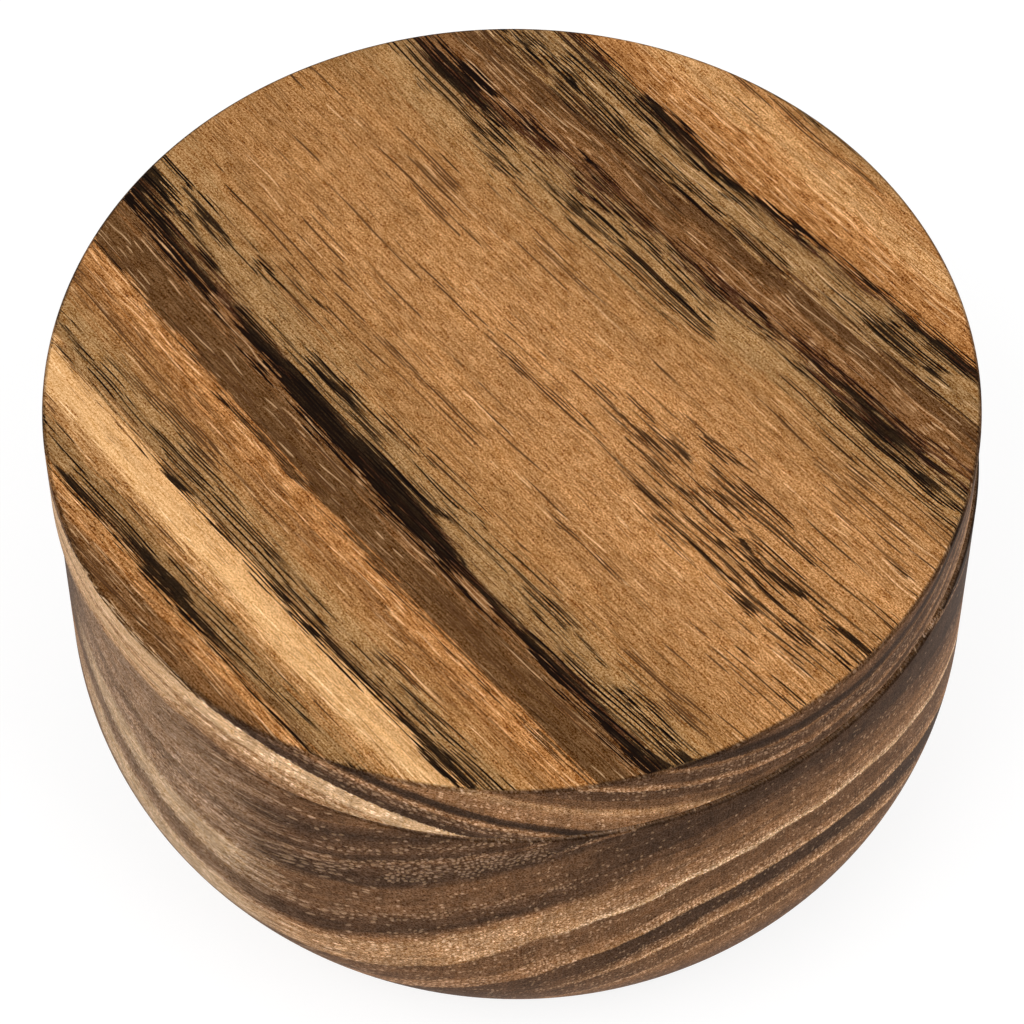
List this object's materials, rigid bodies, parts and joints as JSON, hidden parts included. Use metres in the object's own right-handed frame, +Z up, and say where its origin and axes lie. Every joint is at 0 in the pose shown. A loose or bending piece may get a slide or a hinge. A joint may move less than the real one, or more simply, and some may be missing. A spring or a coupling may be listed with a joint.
{
  "type": "salt box",
  "caption": "Round turned-wood salt box with a flush disc lid that swings aside on a hidden pin and is held shut by magnets.",
  "frame": {"origin": "middle of the flat base, on the turning axis of the body", "axes": "+Z up along the turning axis, -Y towards the magnets at the front, +Y towards the pivot pin at the back, +X to the right"},
  "size_m": [0.1005, 0.1, 0.0655],
  "materials": {
    "body_wood": "oiled, satin",
    "lid_wood": "oiled, satin",
    "pin_steel": "ground",
    "bush_plastic": "moulded, matt",
    "magnet_plating": "nickel plated"
  },
  "bodies": {
    "base": {"body": "body_wood", "pivot_bush": "bush_plastic", "body_magnet": "magnet_plating"},
    "swing_lid": {"lid": "lid_wood", "pivot_pin": "pin_steel", "lid_magnet": "magnet_plating"}
  },
  "joints": [
    {"name": "lid_swivel", "type": "hinge", "parent": "base", "child": "swing_lid", "pos_m": [0, 0.04475, 0.056], "axis": [0, 0, 1], "continuous": true}
  ]
}
